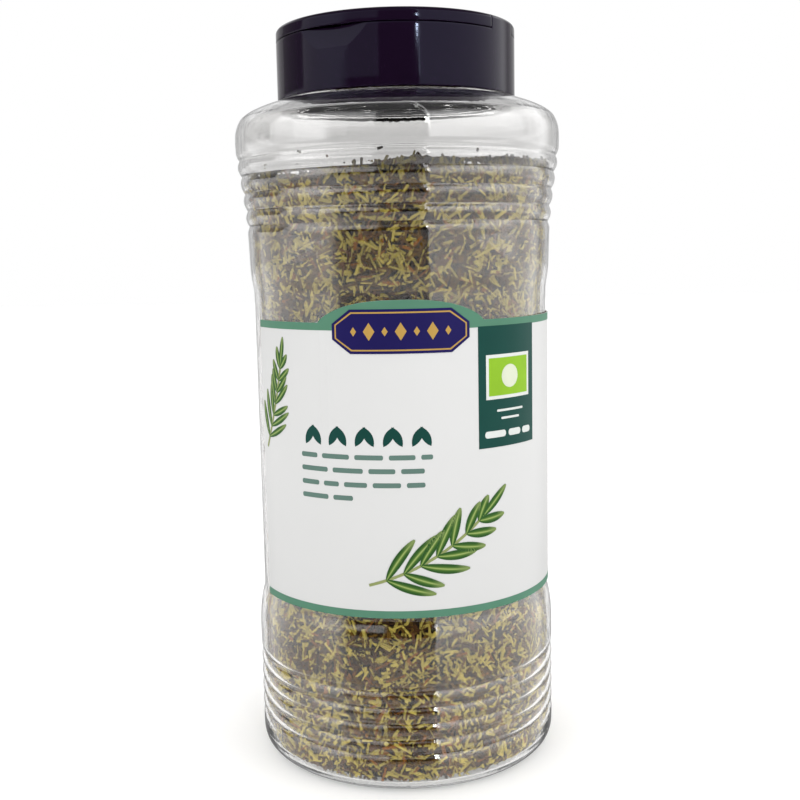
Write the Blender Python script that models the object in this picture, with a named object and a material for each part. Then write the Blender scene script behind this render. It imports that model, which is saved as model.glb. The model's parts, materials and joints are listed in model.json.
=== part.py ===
"""Clear catering spice jar of dried cut rosemary, with a screw-on cap that has two lift-up flaps.

The jar stands on the XY plane with its axis on +Z and its front towards -Y.
Driving dimensions are in millimetres and angles in degrees. An angle round the jar is 0 at
the front and grows towards +X. The meshes are in metres.
"""
import math
import random

import bmesh
import bpy
from mathutils import Matrix

MM = 0.001
GAP = 0.3
SHARP_ANGLE = 10.0

# Jar: outer wall, as radius and height pairs between the ribbed bands
JAR_SIDES = 40
BASE_RING_INNER_R = 34.5
BASE_RING_OUTER_R = 38.5
BASE_RECESS_H = 6.2
BODY_R = 43.5
PANEL_R = 41.9
SHOULDER_R = 45.8
NECK_R = 30.2
NECK_Z = 186.9
MOUTH_Z = 200.6
WALL = 1.2
NECK_WALL = 1.4
PANEL_LOW_Z = 47.6
PANEL_HIGH_Z = 134.6
LOWER_GROOVES = (11.1, 15.5, 20.0, 24.5, 29.0)
UPPER_GROOVES = (152.5, 156.9, 161.6, 166.3, 170.7)
GROOVE_DEPTH = 0.65
BEAD_R = 31.6
BEAD_Z = 187.9

# Neck thread
THREAD_R = 31.3
THREAD_START_Z = 189.7
THREAD_PITCH = 3.2
THREAD_TURNS = 1.2
THREAD_WIDTH = 1.5
THREAD_ROOT = 0.5

# Label: a wrap with a clear strip left open on one side and an arched tab on its top edge
LABEL_INNER_R = 42.2
LABEL_R = 42.5
LABEL_LOW_Z = 49.1
LABEL_HIGH_Z = 127.0
LABEL_ARCH_Z = 132.7
LABEL_ARCH_HALF = 30.5
LABEL_START = -65.5
LABEL_SPAN = 310.0
LABEL_COLUMNS = 80

# Herb fill
FILL_CLEAR = 0.5
FILL_TOP_Z = 168.6
FILL_ROWS = 17
FILL_ROUGH = 0.9
MOUND_RINGS = (38.6, 34.0, 27.5, 20.0, 12.0, 5.0)
MOUND_HEIGHT = 1.6
NEEDLES = 60
NEEDLE_LENGTH = (7.0, 12.0)
NEEDLE_WIDTH = 1.7
NEEDLE_THICK = 1.3
SEED = 11

# Cap: skirt, sieve deck and the fixed bridge between the two flaps
CAP_SIDES = 48
CAP_R = 33.5
CAP_LOW_Z = 186.8
CAP_TOP_Z = 206.4
CAP_EDGE = 1.2
SKIRT_INNER_R = 32.0
SKIRT_UPPER_INNER_R = 30.8
SKIRT_STEP_Z = 195.2
RIM_Z = 202.6
DECK_LOW_Z = 200.9
DECK_Z = 202.4
DECK_EDGE_R = 32.0
BRIDGE_ANGLE = 60.3
BRIDGE_HALF = 5.95
HOLE_R = 3.2
HOLE_SIDES = 12
HOLE_ROWS = ((11.6, (-13.8, -4.6, 4.6, 13.8)), (20.4, (-9.2, 0.0, 9.2)))
POUR_R = 25.6
POUR_NEAR = 9.0

# Finger recess under each flap: two flat cuts that meet in a crease
RECESS_TOP_DEPTH = 1.6
RECESS_CREASE_Z = 197.3
RECESS_CREASE_DEPTH = 0.34
RECESS_TIP_Z = 194.5

# Flaps
FLAP_LOW_Z = 202.9
FLAP_PLATE = 1.4
FLAP_RIM_WALL = 1.4
FLAP_NEAR = 6.25
HINGE_NEAR = 6.1
HINGE_Z = 206.3


def material(name, colour, roughness, metallic=0.0, alpha=1.0):
    mat = bpy.data.materials.new(name)
    mat.use_nodes = True
    shader = mat.node_tree.nodes["Principled BSDF"]
    shader.inputs["Base Color"].default_value = (*colour, 1.0)
    shader.inputs["Roughness"].default_value = roughness
    shader.inputs["Metallic"].default_value = metallic
    shader.inputs["Alpha"].default_value = alpha
    mat.diffuse_color = (*colour, alpha)
    return mat


def shade(mesh):
    """Smooth across the turned facets, with every steeper edge left sharp."""
    mesh.shade_smooth()
    mesh.set_sharp_from_angle(angle=math.radians(SHARP_ANGLE))


def finish(bm, name, mat):
    """Close the bmesh into an object with outward faces, at metre scale."""
    bmesh.ops.remove_doubles(bm, verts=bm.verts, dist=1e-4)
    bmesh.ops.recalc_face_normals(bm, faces=bm.faces)
    bmesh.ops.scale(bm, vec=(MM, MM, MM), verts=bm.verts)
    mesh = bpy.data.meshes.new(name)
    bm.to_mesh(mesh)
    bm.free()
    shade(mesh)
    if mat is not None:
        mesh.materials.append(mat)
    obj = bpy.data.objects.new(name, mesh)
    bpy.context.scene.collection.objects.link(obj)
    return obj


def spin_profile(bm, points, sides, closed=True):
    """Turn a profile of (radius, height) pairs about the Z axis."""
    verts = [bm.verts.new((r, 0.0, z)) for r, z in points]
    pairs = list(zip(verts, verts[1:]))
    if closed:
        pairs.append((verts[-1], verts[0]))
    edges = [bm.edges.new(pair) for pair in pairs]
    bmesh.ops.spin(bm, geom=verts + edges, cent=(0, 0, 0), axis=(0, 0, 1),
                   angle=math.tau, steps=sides, use_merge=True)
    bmesh.ops.remove_doubles(bm, verts=bm.verts, dist=1e-4)


def extrude_outline(bm, outline, low, high):
    """Raise a flat outline of (x, y) pairs into a prism from low to high."""
    face = bm.faces.new([bm.verts.new((x, y, low)) for x, y in outline])
    raised = bmesh.ops.extrude_face_region(bm, geom=[face])
    tops = [v for v in raised["geom"] if isinstance(v, bmesh.types.BMVert)]
    bmesh.ops.translate(bm, vec=(0, 0, high - low), verts=tops)


def as_cutter(obj):
    obj.hide_render = True
    obj.display_type = "WIRE"
    return obj


def boolean(obj, operand, operation):
    """Apply an exact Boolean with one object, or with every object of a collection."""
    mod = obj.modifiers.new("boolean", "BOOLEAN")
    mod.operation = operation
    mod.solver = "EXACT"
    if isinstance(operand, bpy.types.Collection):
        mod.operand_type = "COLLECTION"
        mod.collection = operand
    else:
        mod.object = operand
    graph = bpy.context.evaluated_depsgraph_get()
    mesh = bpy.data.meshes.new_from_object(obj.evaluated_get(graph), depsgraph=graph)
    obj.modifiers.remove(mod)
    obj.data = mesh
    mesh.name = obj.name
    used = list(operand.objects) if isinstance(operand, bpy.types.Collection) else [operand]
    for item in used:
        bpy.data.objects.remove(item)


def outer_radius(z):
    """Outer wall radius between the heel and the shoulder, without the grooves."""
    stations = ((4.6, BODY_R), (38.0, BODY_R), (43.0, 43.1), (PANEL_LOW_Z, PANEL_R),
                (PANEL_HIGH_Z, PANEL_R), (140.0, 42.8), (150.0, 43.1), (158.0, 43.8),
                (164.0, 44.6), (169.0, 45.4), (174.0, SHOULDER_R))
    for (z0, r0), (z1, r1) in zip(stations, stations[1:]):
        if z0 <= z <= z1:
            return r0 + (r1 - r0) * (z - z0) / (z1 - z0)
    return SHOULDER_R


def inner_radius(z):
    return outer_radius(z) - WALL


def ribbed(grooves):
    """Wall points of a ribbed band: a crest between each two grooves, lowest first."""
    points = []
    spacing = grooves[1] - grooves[0]
    for z in grooves:
        points.append((outer_radius(z - spacing / 2), z - spacing / 2))
        points.append((outer_radius(z) - GROOVE_DEPTH, z))
    last = grooves[-1] + spacing / 2
    points.append((outer_radius(last), last))
    return points


def make_jar(mat):
    ring_in = BASE_RING_INNER_R
    outside = [(0.0, BASE_RECESS_H), (14.0, BASE_RECESS_H - 0.4), (28.0, 3.8), (ring_in - 1.5, 0.9),
               (ring_in, 0.0), (BASE_RING_OUTER_R, 0.0), (41.2, 0.9), (42.9, 2.6), (BODY_R, 5.2)]
    outside += ribbed(LOWER_GROOVES)
    outside += [(BODY_R, 38.0), (43.1, 43.0), (PANEL_R, PANEL_LOW_Z), (PANEL_R, PANEL_HIGH_Z),
                (42.8, 140.0), (43.1, 147.0)]
    outside += ribbed(UPPER_GROOVES)
    outside += [(SHOULDER_R, 174.4), (SHOULDER_R, 177.6), (45.1, 180.2), (43.9, 182.1),
                (41.1, 183.8), (36.4, 185.7), (31.6, 186.6), (NECK_R, NECK_Z), (BEAD_R, BEAD_Z - 0.5),
                (BEAD_R, BEAD_Z), (NECK_R, BEAD_Z + 0.6), (NECK_R, MOUTH_Z)]
    mouth_r = NECK_R - NECK_WALL
    inside = [(mouth_r, MOUTH_Z), (mouth_r, 186.4), (30.4, 185.3), (36.0, 184.4), (40.4, 182.6),
              (43.0, 180.6), (SHOULDER_R - WALL, 176.6), (SHOULDER_R - WALL, 173.6),
              (inner_radius(164.0), 164.0), (inner_radius(152.0), 152.0), (inner_radius(140.0), 140.0),
              (PANEL_R - WALL, PANEL_HIGH_Z), (PANEL_R - WALL, PANEL_LOW_Z), (inner_radius(38.0), 38.0),
              (BODY_R - WALL, 7.0), (41.2, 3.6), (38.2, 1.7), (ring_in, 1.7), (28.0, 5.3),
              (14.0, BASE_RECESS_H + 1.0), (0.0, BASE_RECESS_H + 1.4)]
    bm = bmesh.new()
    spin_profile(bm, outside + inside, JAR_SIDES)
    jar = finish(bm, "jar_body", mat)
    boolean(jar, make_thread(), "UNION")
    shade(jar.data)
    return jar


def make_thread():
    """A helical ridge of trapezoid section with tapered ends, rooted in the neck wall."""
    bm = bmesh.new()
    steps = int(JAR_SIDES * THREAD_TURNS)
    rings = []
    for i in range(steps + 1):
        angle = math.tau * (i + 0.5) / JAR_SIDES
        z = THREAD_START_Z + THREAD_PITCH * i / JAR_SIDES
        fade = min(1.0, (min(i, steps - i) + 0.6) / 3.0)
        crest = NECK_R + (THREAD_R - NECK_R) * fade
        root = NECK_R - THREAD_ROOT
        half = THREAD_WIDTH / 2
        section = ((root, -half), (crest, -half * 0.45), (crest, half * 0.45), (root, half))
        rings.append([bm.verts.new((r * math.cos(angle), r * math.sin(angle), z + dz))
                      for r, dz in section])
    for ring, following in zip(rings, rings[1:]):
        for k in range(4):
            bm.faces.new((ring[k], ring[(k + 1) % 4], following[(k + 1) % 4], following[k]))
    bm.faces.new(rings[0])
    bm.faces.new(rings[-1])
    return as_cutter(finish(bm, "thread_ridge", None))


def label_top(angle):
    """Height of the label's top edge, with the arched tab at the front."""
    reach = angle / LABEL_ARCH_HALF
    if abs(reach) >= 1.0:
        return LABEL_HIGH_Z
    return LABEL_HIGH_Z + (LABEL_ARCH_Z - LABEL_HIGH_Z) * (1.0 - reach * reach)


def make_label(mat):
    bm = bmesh.new()
    rings = []
    for i in range(LABEL_COLUMNS + 1):
        degrees = LABEL_START + LABEL_SPAN * i / LABEL_COLUMNS
        x = math.sin(math.radians(degrees))
        y = -math.cos(math.radians(degrees))
        top = label_top(degrees)
        section = ((LABEL_INNER_R, LABEL_LOW_Z), (LABEL_R, LABEL_LOW_Z), (LABEL_R, top),
                   (LABEL_INNER_R, top))
        rings.append([bm.verts.new((r * x, r * y, z)) for r, z in section])
    for ring, following in zip(rings, rings[1:]):
        for k in range(4):
            bm.faces.new((ring[k], ring[(k + 1) % 4], following[(k + 1) % 4], following[k]))
    bm.faces.new(rings[0])
    bm.faces.new(rings[-1])
    return finish(bm, "label", mat)


def make_fill(mat):
    """The packed herb: a rough column just inside the wall, with cut needles lying on top."""
    rng = random.Random(SEED)
    floor = BASE_RECESS_H + 1.4 + GAP + 0.2
    under = [(0.0, floor), (14.0, floor - 0.4), (28.0, 6.0), (BASE_RING_INNER_R, 2.4),
             (38.0, 2.4), (40.5, 4.4)]
    heights = [8.0 + (FILL_TOP_Z - 8.0) * i / (FILL_ROWS - 1) for i in range(FILL_ROWS)]
    side = [(inner_radius(z) - FILL_CLEAR, z) for z in heights]
    mound = [(r, FILL_TOP_Z + MOUND_HEIGHT * (1.0 - r / PANEL_R)) for r in MOUND_RINGS]
    peak = [(0.0, FILL_TOP_Z + MOUND_HEIGHT)]
    bm = bmesh.new()
    spin_profile(bm, under + side + mound + peak, JAR_SIDES, closed=False)
    for vert in bm.verts:
        radius = math.hypot(vert.co.x, vert.co.y)
        if radius < 1.0 or vert.co.z < 7.0:
            continue
        inward = 1.0 - rng.uniform(0.0, FILL_ROUGH) / radius
        vert.co.x *= inward
        vert.co.y *= inward
        if vert.co.z > FILL_TOP_Z - 1.0:
            vert.co.z += rng.uniform(-1.3, 0.9)
    fill = finish(bm, "rosemary", mat)
    needles = bpy.data.collections.new("needles")
    bpy.context.scene.collection.children.link(needles)
    for i in range(NEEDLES):
        length = rng.uniform(*NEEDLE_LENGTH)
        radius = 35.0 * math.sqrt((i + 0.5) / NEEDLES)
        around = math.radians(137.508 * i)
        z = FILL_TOP_Z + MOUND_HEIGHT * (1.0 - radius / PANEL_R) + rng.uniform(-0.3, 0.5)
        turn = Matrix.Rotation(rng.uniform(0.0, math.tau), 4, "Z")
        lean = Matrix.Rotation(math.radians(rng.uniform(-24.0, 24.0)), 4, "Y")
        place = Matrix.Translation((radius * math.cos(around), radius * math.sin(around), z))
        size = Matrix.Diagonal((length, NEEDLE_WIDTH, NEEDLE_THICK, 1.0))
        bm = bmesh.new()
        bmesh.ops.create_cube(bm, size=1.0, matrix=place @ turn @ lean @ size)
        needle = as_cutter(finish(bm, "needle", None))
        bpy.context.scene.collection.objects.unlink(needle)
        needles.objects.link(needle)
    boolean(fill, needles, "UNION")
    bpy.data.collections.remove(needles)
    shade(fill.data)
    return fill


def cap_frame(flap):
    """Rotation that takes +X along a flap, away from the bridge, and +Y along the bridge."""
    degrees = BRIDGE_ANGLE - 90.0 if flap == "sprinkle" else BRIDGE_ANGLE + 90.0
    return Matrix.Rotation(math.radians(degrees - 90.0), 4, "Z")


def half_disc(radius, near, steps):
    """Outline of the part of a disc that lies beyond a straight edge, along +X."""
    reach = math.acos(near / radius)
    angles = [-reach + 2.0 * reach * i / steps for i in range(steps + 1)]
    return [(radius * math.cos(a), radius * math.sin(a)) for a in angles]


def prism(name, outline, low, high, matrix):
    bm = bmesh.new()
    extrude_outline(bm, outline, low, high)
    bmesh.ops.transform(bm, matrix=matrix, verts=bm.verts)
    return as_cutter(finish(bm, name, None))


def recess_cutter(matrix):
    """A wedge whose two flat inner faces meet in the crease of the finger recess."""
    slope = (RECESS_TOP_DEPTH - RECESS_CREASE_DEPTH) / (RIM_Z - RECESS_CREASE_Z)
    high = RIM_Z + 1.0
    top_x = CAP_R - RECESS_TOP_DEPTH - slope
    fall = RECESS_CREASE_DEPTH / (RECESS_CREASE_Z - RECESS_TIP_Z)
    section = [(top_x, high), (CAP_R - RECESS_CREASE_DEPTH, RECESS_CREASE_Z),
               (CAP_R + fall, RECESS_TIP_Z - 1.0), (CAP_R + 4.0, RECESS_TIP_Z - 1.0), (CAP_R + 4.0, high)]
    bm = bmesh.new()
    face = bm.faces.new([bm.verts.new((x, -15.0, z)) for x, z in section])
    raised = bmesh.ops.extrude_face_region(bm, geom=[face])
    ends = [v for v in raised["geom"] if isinstance(v, bmesh.types.BMVert)]
    bmesh.ops.translate(bm, vec=(0, 30.0, 0), verts=ends)
    bmesh.ops.transform(bm, matrix=matrix, verts=bm.verts)
    return as_cutter(finish(bm, "recess", None))


def make_cap(mat):
    skirt = [(0.0, DECK_LOW_Z), (SKIRT_UPPER_INNER_R, DECK_LOW_Z), (SKIRT_UPPER_INNER_R, SKIRT_STEP_Z + 1.4),
             (SKIRT_INNER_R, SKIRT_STEP_Z), (SKIRT_INNER_R, CAP_LOW_Z),
             (CAP_R - 0.3, CAP_LOW_Z), (CAP_R, CAP_LOW_Z + 0.4), (CAP_R, CAP_TOP_Z - CAP_EDGE),
             (CAP_R - 0.35, CAP_TOP_Z - 0.35), (CAP_R - CAP_EDGE, CAP_TOP_Z), (0.0, CAP_TOP_Z)]
    bm = bmesh.new()
    spin_profile(bm, skirt, CAP_SIDES)
    cap = finish(bm, "cap_base", mat)
    for flap in ("sprinkle", "pour"):
        matrix = cap_frame(flap)
        wide = CAP_R + 5.0
        side = [(BRIDGE_HALF, -wide), (wide, -wide), (wide, wide), (BRIDGE_HALF, wide)]
        boolean(cap, prism("flap_room", side, RIM_Z, CAP_TOP_Z + 2.0, matrix), "DIFFERENCE")
        well = half_disc(DECK_EDGE_R, BRIDGE_HALF, 28)
        boolean(cap, prism("deck_well", well, DECK_Z, CAP_TOP_Z + 1.0, matrix), "DIFFERENCE")
        boolean(cap, recess_cutter(matrix), "DIFFERENCE")
    holes = bpy.data.collections.new("holes")
    bpy.context.scene.collection.children.link(holes)
    for out, row in HOLE_ROWS:
        for across in row:
            turns = [math.tau * k / HOLE_SIDES for k in range(HOLE_SIDES)]
            outline = [(out + HOLE_R * math.cos(a), across + HOLE_R * math.sin(a)) for a in turns]
            hole = prism("hole", outline, DECK_LOW_Z - 2.0, DECK_Z + 2.0, cap_frame("sprinkle"))
            bpy.context.scene.collection.objects.unlink(hole)
            holes.objects.link(hole)
    boolean(cap, holes, "DIFFERENCE")
    bpy.data.collections.remove(holes)
    pour_outline = half_disc(POUR_R, POUR_NEAR, 18)
    mouth = prism("pour_mouth", pour_outline, DECK_LOW_Z - 2.0, DECK_Z + 2.0, cap_frame("pour"))
    boolean(cap, mouth, "DIFFERENCE")
    shade(cap.data)
    return cap


def make_flap(name, flap, mat):
    """A D-shaped lid with a turned-down rim, built round its hinge line and then put in place."""
    plate_z = CAP_TOP_Z - FLAP_PLATE
    rim_r = CAP_R - FLAP_RIM_WALL
    shell = [(0.0, plate_z), (rim_r, plate_z), (rim_r, FLAP_LOW_Z), (CAP_R, FLAP_LOW_Z),
             (CAP_R, CAP_TOP_Z - CAP_EDGE), (CAP_R - 0.35, CAP_TOP_Z - 0.35),
             (CAP_R - CAP_EDGE, CAP_TOP_Z), (0.0, CAP_TOP_Z)]
    bm = bmesh.new()
    spin_profile(bm, shell, CAP_SIDES)
    lid = finish(bm, name, mat)
    wide = CAP_R + 5.0
    side = [(FLAP_NEAR, -wide), (wide, -wide), (wide, wide), (FLAP_NEAR, wide)]
    half = prism("flap_side", side, FLAP_LOW_Z - 2.0, CAP_TOP_Z + 2.0, Matrix.Identity(4))
    boolean(lid, half, "INTERSECT")
    lid.data.transform(Matrix.Translation((-HINGE_NEAR * MM, 0, -HINGE_Z * MM)))
    shade(lid.data)
    hinge = bpy.data.objects.new(name + "_hinge", None)
    bpy.context.scene.collection.objects.link(hinge)
    turn = cap_frame(flap)
    hinge.matrix_world = turn @ Matrix.Translation((HINGE_NEAR * MM, 0, HINGE_Z * MM))
    lid.parent = hinge
    return lid


for old in list(bpy.data.objects):
    bpy.data.objects.remove(old)

clear_plastic = material("clear_plastic", (0.86, 0.88, 0.87), 0.06, alpha=0.25)
printed_film = material("printed_film", (0.84, 0.85, 0.84), 0.4)
dried_herb = material("dried_herb", (0.27, 0.25, 0.13), 0.85)
cap_plastic = material("cap_plastic", (0.022, 0.018, 0.045), 0.22)

make_jar(clear_plastic)
make_label(printed_film)
make_fill(dried_herb)
make_cap(cap_plastic)
make_flap("flap_sprinkle", "sprinkle", cap_plastic)
make_flap("flap_pour", "pour", cap_plastic)
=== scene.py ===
import math
import random

import bmesh
import bpy
import numpy as np
from mathutils import Matrix, Vector
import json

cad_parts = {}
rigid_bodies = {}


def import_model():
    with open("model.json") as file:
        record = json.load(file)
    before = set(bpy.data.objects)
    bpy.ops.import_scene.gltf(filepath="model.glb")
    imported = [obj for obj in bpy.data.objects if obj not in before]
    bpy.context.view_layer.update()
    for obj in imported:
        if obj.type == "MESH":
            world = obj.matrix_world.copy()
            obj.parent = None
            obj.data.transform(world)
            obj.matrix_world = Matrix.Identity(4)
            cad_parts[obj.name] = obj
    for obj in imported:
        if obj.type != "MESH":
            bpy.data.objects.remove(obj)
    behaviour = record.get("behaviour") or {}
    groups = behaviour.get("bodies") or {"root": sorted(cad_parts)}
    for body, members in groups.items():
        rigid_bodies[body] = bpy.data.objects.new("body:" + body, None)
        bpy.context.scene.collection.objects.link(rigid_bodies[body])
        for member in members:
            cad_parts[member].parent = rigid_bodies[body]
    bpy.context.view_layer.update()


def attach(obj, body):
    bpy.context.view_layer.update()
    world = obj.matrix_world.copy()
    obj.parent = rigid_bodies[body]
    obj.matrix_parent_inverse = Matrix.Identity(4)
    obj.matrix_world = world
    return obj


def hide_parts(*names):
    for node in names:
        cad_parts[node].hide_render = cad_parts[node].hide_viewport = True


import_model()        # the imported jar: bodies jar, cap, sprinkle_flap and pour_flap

# Camera and floor. The jar stands on a white table and is seen from a little above its middle,
# close by, with the camera turned slightly clockwise so that the jar leans left in the frame.
CAMERA_PLACE = (0.0, -0.3250, 0.1449)
CAMERA_PITCH = 7.615
CAMERA_YAW = -0.106
CAMERA_ROLL = -1.125
CAMERA_LENS = 50.08
FLOOR_HALF = 3.0


def camera_axes(pitch, yaw, roll):
    """Right, up and backward directions of a camera that looks along +Y, tilted by degrees."""
    pitch, yaw, roll = (math.radians(a) for a in (pitch, yaw, roll))
    ahead = Vector((math.sin(yaw) * math.cos(pitch), math.cos(yaw) * math.cos(pitch), -math.sin(pitch)))
    level = Vector((math.cos(yaw), -math.sin(yaw), 0.0))
    over = level.cross(ahead)
    right = level * math.cos(roll) + over * math.sin(roll)
    up = over * math.cos(roll) - level * math.sin(roll)
    return right, up, -ahead


camera = bpy.data.objects.new("camera", bpy.data.cameras.new("camera"))
camera.data.sensor_width = 36.0
camera.data.lens = CAMERA_LENS
camera.data.clip_start = 0.01
camera.matrix_world = Matrix.Translation(CAMERA_PLACE) @ Matrix(
    camera_axes(CAMERA_PITCH, CAMERA_YAW, CAMERA_ROLL)).transposed().to_4x4()
bpy.context.scene.collection.objects.link(camera)
bpy.context.scene.camera = camera
bpy.context.scene.view_settings.view_transform = "Standard"


def feed(tree, slot, value):
    """Link a socket to an input, or set the input to a constant."""
    if isinstance(value, bpy.types.NodeSocket):
        tree.links.new(value, slot)
    else:
        slot.default_value = value


def add_node(tree, kind, settings=(), **inputs):
    """Add a node with its settings, and feed its inputs; an underscore stands for a space."""
    step = tree.nodes.new(kind)
    for label, value in dict(settings).items():
        setattr(step, label, value)
    for label, value in inputs.items():
        feed(tree, step.inputs[label.replace("_", " ")], value)
    return step


def new_finish(name, **surface):
    """A new material, its node tree and its main shader, with the shader's constants set."""
    mat = bpy.data.materials.new(name)
    mat.use_nodes = True
    shader = mat.node_tree.nodes["Principled BSDF"]
    for label, value in surface.items():
        shader.inputs[label.replace("_", " ")].default_value = value
    return mat, mat.node_tree, shader


def add_noise(tree, scale, detail=2.0, place=None):
    """Noise on the piece's own Object coordinates, or on the given ones."""
    place = place or tree.nodes.new("ShaderNodeTexCoord").outputs["Object"]
    return add_node(tree, "ShaderNodeTexNoise", Vector=place, Scale=scale, Detail=detail).outputs["Fac"]


def add_relief(tree, shader, height, strength, distance):
    """Fine relief on a shader, from a height value."""
    relief = add_node(tree, "ShaderNodeBump", Height=height, Strength=strength, Distance=distance)
    tree.links.new(relief.outputs["Normal"], shader.inputs["Normal"])


def from_bmesh(bm, name, home=None):
    """Turn a bmesh into an object in the scene, or in another collection."""
    mesh = bpy.data.meshes.new(name)
    bm.to_mesh(mesh)
    bm.free()
    made = bpy.data.objects.new(name, mesh)
    (home or bpy.context.scene.collection).objects.link(made)
    return made


bm = bmesh.new()
bmesh.ops.create_grid(bm, x_segments=8, y_segments=8, size=FLOOR_HALF)
floor = from_bmesh(bm, "table_top")
white_card, tree, card = new_finish("white_card", Base_Color=(0.93, 0.93, 0.93, 1.0), Roughness=0.9,
                                    Emission_Color=(1.0, 1.0, 1.0, 1.0), Emission_Strength=0.12,
                                    Specular_IOR_Level=0.1)
add_relief(tree, card, add_noise(tree, 900.0), 0.05, 0.0002)
floor.data.materials.append(white_card)
floor.visible_glossy = False

# Studio light. A white tent stands round the jar, open towards the camera, so polished
# surfaces mirror bright sides and a dark gap in front with a sharp edge on the right.
# Headings are in degrees from the camera, and heights are the upward part of a direction.
TENT_LIGHT = 3.2
TENT_GAP_LIGHT = 0.06
TENT_GAP_LEFT = (-56.0, -42.0)
TENT_GAP_RIGHT = (22.4, 20.8)
TENT_GAP_TOP = (0.85, 0.6)
TENT_HALF_LEFT = (-14.0, -17.0)
TENT_HALF_FOOT = (0.09, 0.13)
TENT_LOW = (-0.12, -0.38)
TENT_LOW_GAP_LOSS = 0.5
TENT_LOW_LIGHT_LOSS = 0.42
TENT_FLAG_LEFT = (-140.0, -134.0, -100.0, -94.0)
TENT_FLAG_FOOT = (0.03, 0.09)
TENT_DIM_LEFT = (-60.0, -88.0)
TENT_REAR = (0.5, 0.72)
TENT_CROWN = (0.48, 0.66)
TENT_DARK_SHARES = (0.9, 0.27, 0.8, 0.88)
TENT_TOP_RISE = (0.28, 0.42)
TENT_TOP_FALL = (0.66, 0.48)
TENT_TOP_LIGHT = 0.9
TENT_SEAM = (21.0, 21.6, 22.6, 23.2)
TENT_SEAM_FOOT = (0.1, 0.13)
TENT_SEAM_LIGHT = 6.0
BEHIND_EDGE = (0.0, 0.3)
BEHIND_LIGHT = 0.6
SOFT_FILL = 1.02
LAMPS = (("lamp_left", (-1.1, -0.75, 0.75), 1.1, 4.0), ("lamp_right", (1.15, -0.6, 0.85), 1.1, 4.4),
         ("lamp_over", (0.1, 0.1, 1.5), 1.3, 3.0))
GLINT_PLACE = (0.375, -1.03, 0.425)
GLINT_SIZE = (0.04, 0.045)
GLINT_POWER = 1.3


def add_math(tree, operation, first, second=None):
    """Add a Math node fed by sockets or numbers, and return its output."""
    step = add_node(tree, "ShaderNodeMath", {"operation": operation})
    feed(tree, step.inputs[0], first)
    if second is not None:
        feed(tree, step.inputs[1], second)
    return step.outputs[0]


def add_edge(tree, value, low, high):
    """A smooth rise from 0 at low to 1 at high, which may also run downwards."""
    ends = (0.0, 1.0) if low < high else (1.0, 0.0)
    step = add_node(tree, "ShaderNodeMapRange", {"interpolation_type": "SMOOTHSTEP"}, Value=value,
                    From_Min=min(low, high), From_Max=max(low, high), To_Min=ends[0], To_Max=ends[1])
    return step.outputs["Result"]


def add_product(tree, first, *others):
    """The product of two or more values."""
    for other in others:
        first = add_math(tree, "MULTIPLY", first, other)
    return first


def add_loss(tree, value, share):
    """1 where the value is 0, falling by share where it is 1."""
    return add_math(tree, "SUBTRACT", 1.0, add_math(tree, "MULTIPLY", value, share))


world = bpy.data.worlds.new("light_tent")
bpy.context.scene.world = world
world.use_nodes = True
tree = world.node_tree
direction = add_node(tree, "ShaderNodeSeparateXYZ")
tree.links.new(tree.nodes.new("ShaderNodeTexCoord").outputs["Generated"], direction.inputs[0])
to_right, to_rear, to_top = direction.outputs
heading = add_math(tree, "ARCTAN2", to_right, add_math(tree, "MULTIPLY", to_rear, -1.0))
heading = add_math(tree, "DEGREES", heading)
low = add_edge(tree, to_top, *TENT_LOW)
half = add_product(tree, add_edge(tree, heading, *TENT_HALF_LEFT), add_edge(tree, to_top, *TENT_HALF_FOOT))
gap = add_product(tree, add_edge(tree, heading, *TENT_GAP_LEFT), add_edge(tree, heading, *TENT_GAP_RIGHT),
                  add_edge(tree, to_top, *TENT_GAP_TOP), add_loss(tree, low, TENT_LOW_GAP_LOSS),
                  add_loss(tree, half, 0.5))
flag = add_product(tree, add_edge(tree, heading, *TENT_FLAG_LEFT[:2]),
                   add_edge(tree, heading, *TENT_FLAG_LEFT[:1:-1]), add_edge(tree, to_top, *TENT_FLAG_FOOT))
dark_parts = (flag, add_edge(tree, heading, *TENT_DIM_LEFT), add_edge(tree, to_rear, *TENT_REAR),
              add_edge(tree, to_top, *TENT_CROWN))
for part, share in zip(dark_parts, TENT_DARK_SHARES):
    gap = add_math(tree, "MAXIMUM", gap, add_math(tree, "MULTIPLY", part, share))
mirrored = add_math(tree, "MULTIPLY", gap, TENT_GAP_LIGHT - TENT_LIGHT)
mirrored = add_math(tree, "ADD", mirrored, TENT_LIGHT)
mirrored = add_math(tree, "MULTIPLY", mirrored, add_loss(tree, low, TENT_LOW_LIGHT_LOSS))
overhead = add_product(tree, add_edge(tree, to_top, *TENT_TOP_RISE), add_edge(tree, to_top, *TENT_TOP_FALL),
                       TENT_TOP_LIGHT)
seam = add_product(tree, add_edge(tree, heading, *TENT_SEAM[:2]), add_edge(tree, heading, *TENT_SEAM[:1:-1]),
                   add_edge(tree, to_top, *TENT_SEAM_FOOT), TENT_SEAM_LIGHT)
mirrored = add_math(tree, "ADD", add_math(tree, "ADD", mirrored, overhead), seam)
rays = tree.nodes.new("ShaderNodeLightPath")
behind = add_product(tree, rays.outputs["Is Transmission Ray"], add_edge(tree, to_rear, *BEHIND_EDGE),
                     add_math(tree, "SUBTRACT", BEHIND_LIGHT, mirrored))
mirrored = add_math(tree, "ADD", mirrored, behind)
over_fill = add_math(tree, "SUBTRACT", mirrored, SOFT_FILL)
glossy = add_math(tree, "MULTIPLY", rays.outputs["Is Glossy Ray"], over_fill)
direct = add_math(tree, "MULTIPLY", rays.outputs["Is Camera Ray"], 1.0 - SOFT_FILL)
background = tree.nodes["Background"]
background.inputs["Color"].default_value = (1.0, 1.0, 1.0, 1.0)
feed(tree, background.inputs["Strength"],
     add_math(tree, "ADD", add_math(tree, "ADD", glossy, direct), SOFT_FILL))


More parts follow.
